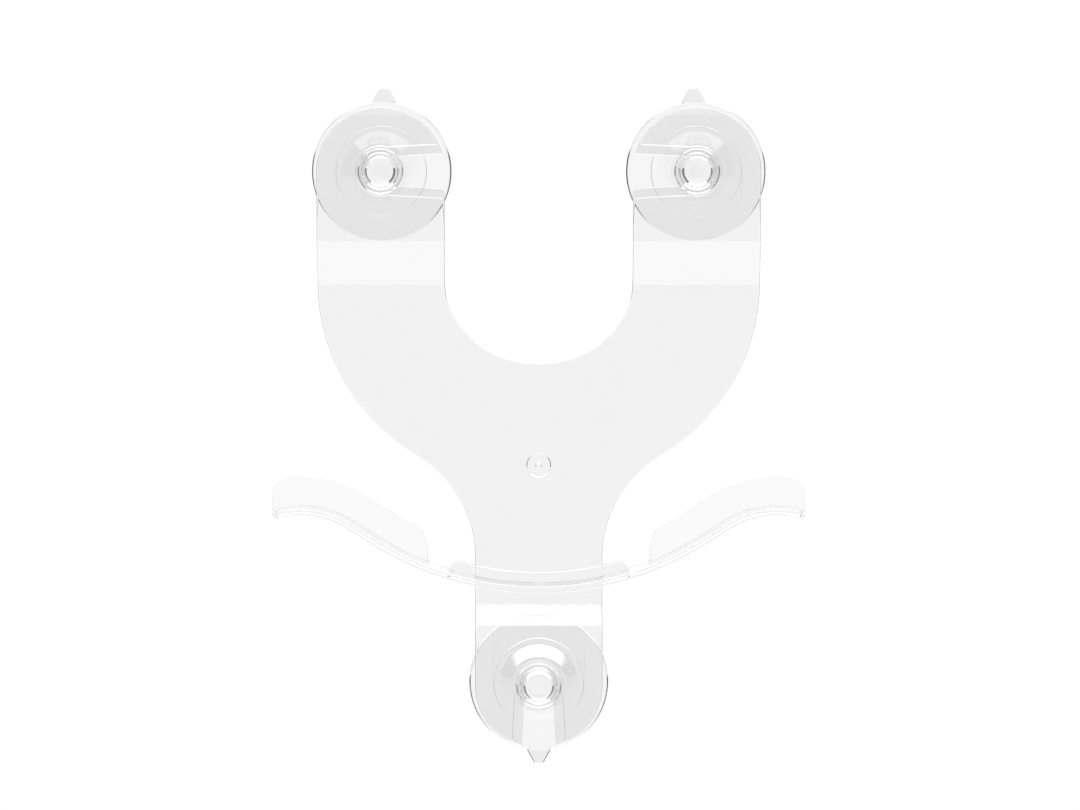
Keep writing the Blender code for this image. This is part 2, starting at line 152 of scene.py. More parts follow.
def inset(outline: Outline, distance: float) -> Outline:
    """Move every side of an anticlockwise outline inwards.

    Args:
        outline: a closed outline.
        distance: how far its sides move in; a negative distance moves them out.

    Returns:
        As many points as the outline has.
    """
    if distance == 0:
        return list(outline)
    moved: Outline = []
    for index, (u, v) in enumerate(outline):
        before = Vector(outline[index - 1])
        after = Vector(outline[(index + 1) % len(outline)])
        here = Vector((u, v))
        incoming = (here - before).normalized()
        outgoing = (after - here).normalized()
        normal = Vector((-incoming.y - outgoing.y, incoming.x + outgoing.x)).normalized()
        stretch = max(normal.dot(Vector((-incoming.y, incoming.x))), SHARPEST)
        moved.append(tuple(here + normal * distance / stretch))
    return moved


def rounded_wall(
    low: float, high: float, low_round: float, high_round: float, steps: int = 5
) -> list[Pair]:
    """Side of a solid whose two rims are rounded.

    Args:
        low: height of the lower face.
        high: height of the upper face.
        low_round: radius of the lower rim.
        high_round: radius of the upper rim.
        steps: the number of stretches in a round.

    Returns:
        (inset, height) of each ring, from the lower face to the upper one.
    """
    quarter = [math.pi / 2 * step / steps for step in range(steps + 1)]
    rings = [(low_round * (1 - math.sin(a)), low + low_round * (1 - math.cos(a))) for a in quarter]
    rings += [(high_round * (1 - math.cos(a)), high - high_round * (1 - math.sin(a))) for a in quarter]
    return rings


def flared_wall(
    floor: float, mouth: float, floor_round: float, flare: float, steps: int = 4
) -> list[Pair]:
    """Side of a cutter that leaves a rounded floor edge and a rounded rim.

    Args:
        floor: height of the cut's floor.
        mouth: height of the face that the cut opens in, above the floor.
        floor_round: radius where the floor meets the side.
        flare: radius of the rim.
        steps: the number of stretches in a round.

    Returns:
        (inset, height) of each ring, from the floor to well past the mouth.
    """
    quarter = [math.pi / 2 * step / steps for step in range(steps + 1)]
    rings = [(floor_round * (1 - math.sin(a)), floor + floor_round * (1 - math.cos(a))) for a in quarter]
    rings += [(flare * (math.cos(a) - 1), mouth + flare * (math.sin(a) - 1)) for a in quarter]
    return rings + [(-flare, mouth + 2.0)]


# --- Solids --------------------------------------------------------------------------------------
class Solid:
    """A closed mesh in the making, in millimetres."""

    def __init__(self) -> None:
        """Start empty."""
        self.shape = bmesh.new()

    @classmethod
    def lofted(cls, outline: Outline, rings: Sequence[Pair]) -> "Solid":
        """Stack copies of an outline and close both ends.

        Args:
            outline: a closed outline in (u, v).
            rings: (inset, height) of each copy, from one end to the other.

        Returns:
            The solid, in (u, v, height).
        """
        solid = cls()
        if signed_area(outline) < 0:
            outline = outline[::-1]
        loops = [
            [solid.shape.verts.new((u, v, height)) for u, v in inset(outline, distance)]
            for distance, height in rings
        ]
        for lower, upper in zip(loops, loops[1:]):
            solid._band(lower, upper)
        solid.shape.faces.new(loops[0][::-1])
        solid.shape.faces.new(loops[-1])
        return solid

    @classmethod
    def turned(cls, profile: Sequence[Pair], steps: int) -> "Solid":
        """Turn a half section about the height axis.

        Args:
            profile: (radius, height) from the top of the axis round to its bottom.
            steps: the number of stretches in a full turn.

        Returns:
            The solid, with its axis along the third coordinate.
        """
        solid = cls()
        angles = [2 * math.pi * step / steps for step in range(steps)]
        loops = []
        for radius, height in profile:
            if radius == 0:
                loops.append([solid.shape.verts.new((0, 0, height))])
            else:
                circle = [(radius * math.cos(a), radius * math.sin(a), height) for a in angles]
                loops.append([solid.shape.verts.new(point) for point in circle])
        for upper, lower in zip(loops, loops[1:]):
            solid._band(lower, upper)
        return solid

    def _band(self, lower: list, upper: list) -> None:
        """Make the faces between two loops of vertices.

        Args:
            lower: one loop, or a single vertex in a list.
            upper: the other loop, or a single vertex in a list.
        """
        count = max(len(lower), len(upper))
        for index in range(count):
            after = (index + 1) % count
            if len(lower) == 1:
                self.shape.faces.new((lower[0], upper[after], upper[index]))
            elif len(upper) == 1:
                self.shape.faces.new((lower[index], lower[after], upper[0]))
            else:
                self.shape.faces.new((lower[index], lower[after], upper[after], upper[index]))

    def sliced(self, axis: int, places: Iterable[float]) -> "Solid":
        """Cut edges across the solid, square to an axis, where it will bend.

        Args:
            axis: 0, 1 or 2.
            places: where along the axis.

        Returns:
            The same solid.
        """
        normal = Vector((0, 0, 0))
        normal[axis] = 1.0
        for place in places:
            everything = self.shape.verts[:] + self.shape.edges[:] + self.shape.faces[:]
            bmesh.ops.bisect_plane(
                self.shape, geom=everything, dist=1e-4, plane_co=normal * place, plane_no=normal
            )
        return self

    def bent(self, place: Place) -> "Solid":
        """Move every point.

        Args:
            place: gives each point's new place from its three coordinates.

        Returns:
            The same solid.
        """
        for vert in self.shape.verts:
            vert.co = place(*vert.co)
        return self

    def named(self, name: str) -> bpy.types.Object:
        """Close the solid and make it an object.

        Args:
            name: the object's name.

        Returns:
            The object, its mesh in metres, in the scene.
        """
        bmesh.ops.recalc_face_normals(self.shape, faces=self.shape.faces)
        bmesh.ops.scale(self.shape, vec=(MM, MM, MM), verts=self.shape.verts)
        mesh = bpy.data.meshes.new(name)
        self.shape.to_mesh(mesh)
        self.shape.free()
        obj = bpy.data.objects.new(name, mesh)
        bpy.context.scene.collection.objects.link(obj)
        return obj


class Join(Enum):
    """How one solid is combined with another."""

    UNION = "UNION"
    DIFFERENCE = "DIFFERENCE"


def combine(body: bpy.types.Object, tool: bpy.types.Object, how: Join) -> None:
    """Unite a body with another solid, or cut it with one; the other solid is used up.

    Args:
        body: the object that stays.
        tool: the object that is used up.
        how: union or difference.
    """
    modifier = body.modifiers.new("combine", "BOOLEAN")
    modifier.operation = how.value
    modifier.object = tool
    modifier.solver = "EXACT"
    depsgraph = bpy.context.evaluated_depsgraph_get()
    mesh = bpy.data.meshes.new_from_object(body.evaluated_get(depsgraph))
    body.modifiers.remove(modifier)
    mesh.name = body.data.name
    body.data = mesh
    bpy.data.objects.remove(tool, do_unlink=True)


def polish(obj: bpy.types.Object, sharp_degrees: float) -> None:
    """Shade a moulded solid smooth over its rounds and keep its flats flat.

    Args:
        obj: the finished solid.
        sharp_degrees: the angle from which an edge stays crisp.
    """
    obj.data.shade_smooth()
    obj.data.set_sharp_from_angle(angle=math.radians(sharp_degrees))
    normals = obj.modifiers.new("flat_flats", "WEIGHTED_NORMAL")
    normals.keep_sharp = True
    normals.weight = 100


# --- Materials -----------------------------------------------------------------------------------
def linear(hex_colour: str) -> tuple[float, float, float, float]:
    """Linear RGBA of an sRGB colour written as #rrggbb."""
    values = [int(hex_colour[i:i + 2], 16) / 255 for i in (1, 3, 5)]
    return (*(v / 12.92 if v <= 0.04045 else ((v + 0.055) / 1.055) ** 2.4 for v in values), 1.0)


def add_node(
    tree: bpy.types.NodeTree, kind: str, inputs: dict | None = None, **settings: str
) -> bpy.types.Node:
    """Add a node, set it up and link it.

    Args:
        tree: the node tree.
        kind: the node's type name.
        inputs: a value or an output socket for each input, by name or number.
        settings: the node's own properties.

    Returns:
        The node.
    """
    node = tree.nodes.new(kind)
    for name, value in settings.items():
        setattr(node, name, value)
    for name, value in (inputs or {}).items():
        if isinstance(value, bpy.types.NodeSocket):
            tree.links.new(value, node.inputs[name])
        else:
            node.inputs[name].default_value = value
    return node


@dataclass(frozen=True)
class ClearMoulding:
    """A see-through plastic, injection moulded in a polished tool.

    The tool leaves broad, shallow waves from shrinkage and a fine orange peel; both only show where
    light is bent, as faint streaks along edges and in highlights.
    """

    name: str
    tint: str                   # what is left of white light after it has crossed a wall
    ior: float
    roughness: float
    sink_mm: float              # width of a shrinkage wave
    sink_height_mm: float
    peel_mm: float              # grain of the orange peel
    peel_height_mm: float

    def material(self) -> bpy.types.Material:
        """Build the material.

        Returns:
            A Principled material with the two wave patterns in its bump.
        """
        material = bpy.data.materials.new(self.name)
        material.use_nodes = True
        tree = material.node_tree
        shader = tree.nodes["Principled BSDF"]
        shader.inputs["Base Color"].default_value = linear(self.tint)
        shader.inputs["Roughness"].default_value = self.roughness
        shader.inputs["IOR"].default_value = self.ior
        shader.inputs["Transmission Weight"].default_value = 1.0
        place = add_node(tree, "ShaderNodeTexCoord").outputs["Object"]
        sink = add_node(tree, "ShaderNodeTexNoise", {
            "Vector": place, "Scale": 1 / (self.sink_mm * MM), "Detail": 1.0,
        })
        peel = add_node(tree, "ShaderNodeTexNoise", {
            "Vector": place, "Scale": 1 / (self.peel_mm * MM), "Detail": 2.0,
        })
        broad = add_node(tree, "ShaderNodeBump", {
            "Height": sink.outputs[0], "Distance": self.sink_height_mm * MM, "Strength": 1.0,
        })
        fine = add_node(tree, "ShaderNodeBump", {
            "Height": peel.outputs[0], "Distance": self.peel_height_mm * MM, "Strength": 1.0,
            "Normal": broad.outputs[0],
        })
        tree.links.new(fine.outputs[0], shader.inputs["Normal"])
        return material


# Acrylic, moulded in a mirror-polished tool: nearly colourless, hard gloss, crisp reflections.
POLISHED_ACRYLIC = ClearMoulding(
    name="polished_clear_acrylic", tint="#f6f6f6", ior=1.49, roughness=0.0,
    sink_mm=9.0, sink_height_mm=0.004, peel_mm=0.9, peel_height_mm=0.0002,
)
# Plasticised PVC: a little hazier and greyer than the acrylic, with a soft, slightly wavy gloss.
SOFT_PVC = ClearMoulding(
    name="soft_clear_pvc", tint="#f2f2f2", ior=1.53, roughness=0.03,
    sink_mm=5.0, sink_height_mm=0.006, peel_mm=0.7, peel_height_mm=0.0004,
)


# --- The places of the cups ----------------------------------------------------------------------
class CupPlace(Enum):
    """The three cups: CAD node, body, way out of the keyhole as an angle from +X, and tab direction."""

    LEFT = ("suction_cup_left", "cup_left", 0.0, 1, 2.0)
    RIGHT = ("suction_cup_right", "cup_right", 180.0, 1, -2.0)
    BOTTOM = ("suction_cup_bottom", "cup_bottom", -90.0, -1, 180.0)

    def __init__(self, node: str, body: str, mouth: float, tab_side: int, turn: float) -> None:
        """Keep the fields.

        Args:
            node: the CAD node.
            body: the moving body.
            mouth: the way out of the keyhole, in degrees from +X.
            tab_side: 1 where the tab points up, -1 where it points down.
            turn: how far the cup is turned clockwise from tab up, in degrees.
        """
        self.node = node
        self.body = body
        self.mouth = math.radians(mouth)
        self.tab_side = tab_side
        self.turn = math.radians(turn)

    @property
    def radius(self) -> float:
        """Radius of the CAD cup's rim in millimetres."""
        low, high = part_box(self.node)
        return (high[0] - low[0]) / 2 / MM

    @property
    def axis(self) -> Pair:
        """Where the CAD cup's axis is; its tab only lengthens one end of its box.

        Returns:
            (x, z) in millimetres.
        """
        low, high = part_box(self.node)
        far_edge = low[2] / MM + self.radius if self.tab_side > 0 else high[2] / MM - self.radius
        return (low[0] + high[0]) / 2 / MM, far_edge


# --- Bracket -------------------------------------------------------------------------------------
@dataclass
class Ledge:
    """Middle line of the S-curved ledge: a hollow, a straight flank and a crest on each side."""

    low_z: float                    # height of its lowest point
    wall: float = 2.2
    cradle_radius: float = 100.0
    cradle_sweep: float = math.radians(32.2)
    flank: float = 9.5
    wing_radius: float = 30.0
    span: float = 171.2

    def point(self, along: float, above: float = 0.0) -> Pair:
        """A point beside the middle line.

        Args:
            along: signed length along the line from the centre line.
            above: how far off the line, square to it, upwards.

        Returns:
            (x, z).
        """
        length = abs(along)
        hollow = self.cradle_radius * self.cradle_sweep
        slope = min(length, hollow) / self.cradle_radius
        x = self.cradle_radius * math.sin(slope)
        z = self.cradle_radius * (1 - math.cos(slope))
        straight = min(max(length - hollow, 0.0), self.flank)
        x += straight * math.cos(self.cradle_sweep)
        z += straight * math.sin(self.cradle_sweep)
        over = max(length - hollow - self.flank, 0.0) / self.wing_radius
        if over > 0:
            slope = self.cradle_sweep - over
            x += self.wing_radius * (math.sin(self.cradle_sweep) - math.sin(slope))
            z += self.wing_radius * (math.cos(slope) - math.cos(self.cradle_sweep))
        x -= above * math.sin(slope)
        z += above * math.cos(slope)
        return math.copysign(x, along), self.low_z + z

    def tip(self, above: float) -> float:
        """Where a point beside the line reaches the tip.

        Args:
            above: how far off the line it is.

        Returns:
            Its length along the line.
        """
        start = self.cradle_radius * self.cradle_sweep + self.flank
        crest_x = self.point(start)[0] + self.wing_radius * math.sin(self.cradle_sweep)
        past_crest = math.asin((self.span / 2 - crest_x) / (self.wing_radius + above))
        return start + self.wing_radius * (self.cradle_sweep + past_crest)

    def length_at(self, x: float, above: float) -> float:
        """Length along the hollow at which a point this high above it stands at x."""
        return self.cradle_radius * math.asin(x / (self.cradle_radius - above))


@dataclass
class Bracket:
    """The moulded Y with its pads, keyholes, ledge, lips and root rib. Sizes in millimetres."""

    wall: float = 2.5
    edge_round: float = 0.6         # of the front rims; the back ones are crisper
    back_round: float = 0.3
    arm_width: float = 41.4
    pad_step: float = 6.5           # the pads stand this far in front of the plate
    upper_ramp: Pair = (36.4, 23.0)     # foot and top of the ramp, below the upper cups' axes
    lower_ramp: Pair = (19.9, 25.3)     # foot and top of the ramp, above the bottom cup's axis
    bend: float = 0.5               # half height of each bend
    crotch_depth: float = 26.0
    bowl_depth: float = 67.7
    waist_radius: float = 37.5
    gate_rise: float = 71.3
    gate_radius: float = 4.0
    gate_nub_radius: float = 1.1
    gate_depth: float = 0.5
    gate_draft: float = 0.25
    ledge_rise: float = 32.1
    ledge_inset: float = 0.5        # the ledge and rib start this far in front of the plate's back
    lip_start: float = 35.6
    lip_height: float = 10.6
    lip_wall: float = 2.0
    lip_inner_round: float = 9.8
    lip_outer_round: float = 5.5
    rib_ear: float = 9.3
    rib_height: float = 3.2
    rib_round: float = 3.0
    rib_proud: float = 1.2
    small_round: float = 0.25       # rims of the ledge, the lips and the rib
    lip_lean: float = 0.8           # the lips lean forwards by this much over their height
    pocket_depth: float = 1.0
    seat_radius: float = 4.85
    throat: float = 4.6             # half width of the slot at the seat
    slot_flare: float = 1.1
    channel: float = 7.8            # half width of the pocket at the seat
    pocket_radius: float = 8.1
    pocket_flare: float = 1.0
    mouth_round: float = 1.8
    rim_round: float = 0.3          # rims of the keyholes
    step: float = 0.5               # longest stretch along a curve
    ledge: Ledge = field(init=False)

    def __post_init__(self) -> None:
        """Take the places from the CAD model."""
        low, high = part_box("bracket")
        self.back = high[1] / MM
        self.plate_front = self.back - self.wall
        self.ledge_front = low[1] / MM
        self.cup_x, self.upper_z = CupPlace.RIGHT.axis
        self.lower_z = CupPlace.BOTTOM.axis[1]
        self.half = self.arm_width / 2
        self.pad_front = self.plate_front - self.pad_step
        self.bowl_z = self.upper_z - self.upper_ramp[0]
        self.ledge = Ledge(low_z=self.lower_z + self.ledge_rise)

    def build(self) -> bpy.types.Object:
        """Make the whole moulding.

        Returns:
            One closed solid in metres.
        """
        body = self._plate()
        combine(body, self._keyhole_cutters("pockets", True), Join.DIFFERENCE)
        combine(body, self._keyhole_cutters("slots", False), Join.DIFFERENCE)
        combine(body, self._gate_cutter(), Join.DIFFERENCE)
        for extra in (self._gate_nub(), self._ledge(), self._rib(), self._lip(-1), self._lip(1)):
            combine(body, extra, Join.UNION)
        polish(body, CRISP_DEGREES)
        return body

    def dress(self, piece: bpy.types.Object, material: bpy.types.Material) -> bpy.types.Object:
        """Give the moulding its material and its body, and hide the CAD node that it takes the place of.

        Args:
            piece: the finished solid.
            material: its plastic.

        Returns:
            The same object.
        """
        piece.data.materials.clear()
        piece.data.materials.append(material)
        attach(piece, "cradle")
        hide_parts("bracket")
        return piece

    # The Y-shaped plate
    def _waist(self) -> Pair:
        """Find where the concave waist touches the elliptical bowl, by halving.

        Returns:
            Height of the waist arc's centre, and the angle on the ellipse at which they touch.
        """
        wide = self.cup_x + self.half
        low, high = -math.pi / 2, 0.0
        centre_z = 0.0
        for _ in range(60):
            angle = (low + high) / 2
            normal = Vector((math.cos(angle) / wide, math.sin(angle) / self.bowl_depth)).normalized()
            centre_z = self.bowl_z + self.bowl_depth * math.sin(angle) + self.waist_radius * normal.y
            if wide * math.cos(angle) + self.waist_radius * normal.x < self.half + self.waist_radius:
                low = angle
            else:
                high = angle
        return centre_z, low

    def _outline(self) -> Outline:
        """Front view of the Y, without its slots.

        Returns:
            The closed outline in (x, z).
        """
        waist_z, touch = self._waist()
        waist = (self.half + self.waist_radius, waist_z)
        wide = self.cup_x + self.half
        end = math.atan2(
            self.bowl_z + self.bowl_depth * math.sin(touch) - waist_z, wide * math.cos(touch) - waist[0]
        )
        side = arc((0, self.lower_z), (self.half, self.half), -math.pi / 2, 0)
        side += arc(waist, (self.waist_radius, self.waist_radius), math.pi, end)
        side += arc((0, self.bowl_z), (wide, self.bowl_depth), touch, 0)[1:]
        side += arc((self.cup_x, self.upper_z), (self.half, self.half), 0, math.pi)
        side += arc((0, self.bowl_z), (self.cup_x - self.half, self.crotch_depth), 0, -math.pi / 2)
        return side + [(-x, z) for x, z in reversed(side[1:-1])]

    def _bends(self) -> list[tuple[float, float, float]]:
        """Bends of the stepped section.

        Returns:
            (height, slope below, slope above) of each, bottom first.
        """
        low_foot, low_top = (self.lower_z + rise for rise in self.lower_ramp)
        high_foot, high_top = (self.upper_z - drop for drop in self.upper_ramp)
        low_slope = self.pad_step / (low_top - low_foot)
        high_slope = -self.pad_step / (high_top - high_foot)
        return [
            (low_foot, 0.0, low_slope), (low_top, low_slope, 0.0),
            (high_foot, 0.0, high_slope), (high_top, high_slope, 0.0),
        ]

    def _section(self, z: float) -> Pair:
        """Where the plate's middle surface stands at a height.

        Args:
            z: the height.

        Returns:
            Its y, and its slope dy/dz; each bend is a short parabola.
        """
        y = self.pad_front + self.wall / 2
        slope = 0.0
        for height, below, above in self._bends():
            share = min(max((z - height + self.bend) / (2 * self.bend), 0.0), 1.0)
            slope += (above - below) * share
            past = max(z - height - self.bend, 0.0)
            y += (above - below) * (self.bend * share * share + past)
        return y, slope

    def _on_section(self, x: float, z: float, off: float) -> tuple[float, float, float]:
        """Place a point on the stepped plate.

        Args:
            x: across the plate.
            z: height on the middle surface.
            off: how far in front of the middle surface.

        Returns:
            The point.
        """
        y, slope = self._section(z)
        tilt = math.hypot(1.0, slope)
        return x, y - off / tilt, z + off * slope / tilt

    def _plate(self) -> bpy.types.Object:
        """Make the Y as a bent plate with rounded edges.

        Returns:
            The solid plate.
        """
        rings = rounded_wall(-self.wall / 2, self.wall / 2, self.back_round, self.edge_round)
        cuts = [height + self.bend * (step / 4 - 1) for height, _, _ in self._bends() for step in range(9)]
        flat = Solid.lofted(self._outline(), rings).sliced(1, cuts)
        return flat.bent(self._on_section).named("moulded_bracket")

    # Keyholes and gate
    def _keyhole(self, radius: float, throat: float, flare: float) -> Outline:
        """Keyhole about its seat, opening towards +u, with its mouth's corners rounded.

        Args:
            radius: radius of the round part.
            throat: half width of the straight part where it leaves the round one.
            flare: how much each side has opened at the pad's edge.

        Returns:
            The cutter's outline, which runs past the pad's edge.
        """
        meet = math.asin(throat / radius)
        mouth = throat + flare
        past = self.half + 4.0
        turned = arc((0, 0), (radius, radius), meet, 2 * math.pi - meet, 0.5)
        corners = [
            (radius * math.cos(meet), -throat, 0), (self.half, -mouth, self.mouth_round),
            (self.half + 0.3, -mouth - 6.0, 0), (past, -mouth - 6.0, 0),
            (past, mouth + 6.0, 0), (self.half + 0.3, mouth + 6.0, 0),
            (self.half, mouth, self.mouth_round), (radius * math.cos(meet), throat, 0),
        ]
        return turned[:-1] + rounded(corners)[:-1]

    def _keyhole_cutters(self, name: str, pockets: bool) -> bpy.types.Object:
        """Make the cutters of the three keyholes.

        Args:
            name: the object's name.
            pockets: True for the shallow pockets, False for the slots through the wall.

        Returns:
            The three as one object.
        """
        floor = -self.pad_front - self.pocket_depth
        if pockets:
            outline = self._keyhole(self.pocket_radius, self.channel, self.pocket_flare)
            rings = flared_wall(floor, -self.pad_front, 0.25, self.rim_round)
        else:
            outline = self._keyhole(self.seat_radius, self.throat, self.slot_flare)
            back = floor - self.wall + self.pocket_depth
            quarter = [math.pi / 2 * step / 4 for step in range(5)]
            flare = self.rim_round
            rings = [(-flare, back - 2.0)]
            rings += [(flare * (math.sin(a) - 1), back + flare * (1 - math.cos(a))) for a in quarter]
            rings += flared_wall(floor - self.rim_round, floor, 0.0, self.rim_round)[5:]
        whole = None
        for place in CupPlace:
            turn = Matrix.Rotation(place.mouth, 2)
            centre = Vector(place.axis)
            placed = [tuple(turn @ Vector(point) + centre) for point in outline]
            cutter = Solid.lofted(placed, rings).bent(lambda x, z, off: (x, -off, z)).named(name)
            if whole is None:
                whole = cutter
            else:
                combine(whole, cutter, Join.UNION)
        return whole

    def _disc(self, name: str, radius: float, rings: Sequence[Pair]) -> bpy.types.Object:
        """Make a round solid on the gate's axis, standing forwards.

        Args:
            name: the object's name.
            radius: its radius.
            rings: (inset, height in front of the pane) of each ring.

        Returns:
            The solid.
        """
        centre = (0.0, self.lower_z + self.gate_rise)
        ring = arc(centre, (radius, radius), 0, 2 * math.pi, 0.35)[:-1]
        return Solid.lofted(ring, rings).bent(lambda x, z, off: (x, -off, z)).named(name)

    def _gate_cutter(self) -> bpy.types.Object:
        """Make the cutter of the gate's round recess.

        Returns:
            The cutter.
        """
        face = -self.plate_front
        rings = [(self.gate_draft, face - self.gate_depth), (0.0, face), (0.0, face + 1.0)]
        return self._disc("gate_cutter", self.gate_radius, rings)

    def _gate_nub(self) -> bpy.types.Object:
        """Make the cut-off stub in the middle of the recess.

        Returns:
            The stub.
        """
        face = -self.plate_front
        rings = [(0.0, face - 1.2), (0.0, face - self.gate_depth), (0.3, face + 0.1), (0.5, face + 0.2)]
        return self._disc("gate_nub", self.gate_nub_radius, rings)

    # The ledge and what stands on it
    def _ledge(self) -> bpy.types.Object:
        """Make the S-curved ledge, from inside the plate to its front edge.

        Returns:
            The ledge.
        """
        end = self.ledge.tip(0.0)
        back = self.back - self.ledge_inset
        front = self.ledge_front
        corners = [(-end, back, 1.0), (end, back, 1.0), (end, front, 1.0), (-end, front, 1.0)]
        half = self.ledge.wall / 2
        rings = rounded_wall(-half, half, self.small_round, self.small_round)
        count = math.ceil(2 * end / self.step)
        cuts = [end * (2 * step / count - 1) for step in range(1, count)]
        solid = Solid.lofted(rounded(corners), rings).sliced(0, cuts)
        return solid.bent(self._on_ledge).named("ledge")

    def _on_ledge(self, along: float, y: float, above: float) -> tuple[float, float, float]:
        """Point of the ledge's own (along, y, above) in the frame."""
        x, z = self.ledge.point(along, above)
        return x, y, z

    def _upright(
        self, name: str, corners: Sequence[Corner], back: float, front: float, lean: float = 0.0
    ) -> bpy.types.Object:
        """A wall that stands on the ledge.

        Args:
            name: the object's name.
            corners: (along, above, radius) of its outline's corners.
            back: y of its back face at its top.
            front: y of its front face at its top.
            lean: how much further back it starts.

        Returns:
            The wall, bent along the ledge.
        """
        top = max(above for _, above, _ in corners)
        rings = rounded_wall(-back, -front, self.small_round, self.small_round)
        solid = Solid.lofted(subdivided(rounded(corners), self.step), rings)
        solid.bent(lambda along, above, off: self._on_ledge(along, lean * (1 - above / top) - off, above))
        return solid.named(name)

    def _lip(self, side: int) -> bpy.types.Object:
        """Make the front lip on one wing.

        Args:
            side: -1 for the left wing, 1 for the right one.

        Returns:
            The lip.
        """
        top = self.ledge.wall / 2 + self.lip_height
        corners = [
            (side * self.ledge.length_at(self.lip_start, 0.0), 0.0, 0),
            (side * self.ledge.tip(0.0), 0.0, 0),
            (side * self.ledge.tip(top), top, self.lip_outer_round),
            (side * self.ledge.length_at(self.lip_start, top), top, self.lip_inner_round),
        ]
        back = self.ledge_front + self.lip_wall
        return self._upright("lip", corners, back, self.ledge_front, self.lip_lean)

    def _rib(self) -> bpy.types.Object:
        """Make the rib that braces the ledge against the plate, with an ear past each side of the neck.

        Returns:
            The rib.
        """
        top = self.ledge.wall / 2 + self.rib_height
        end = self.half + self.rib_ear
        corners = [(-end, 0.0, 0), (end, 0.0, 0), (end, top, self.rib_round), (-end, top, self.rib_round)]
        front = self.plate_front - self.rib_proud
        return self._upright("rib", corners, self.back - self.ledge_inset, front)


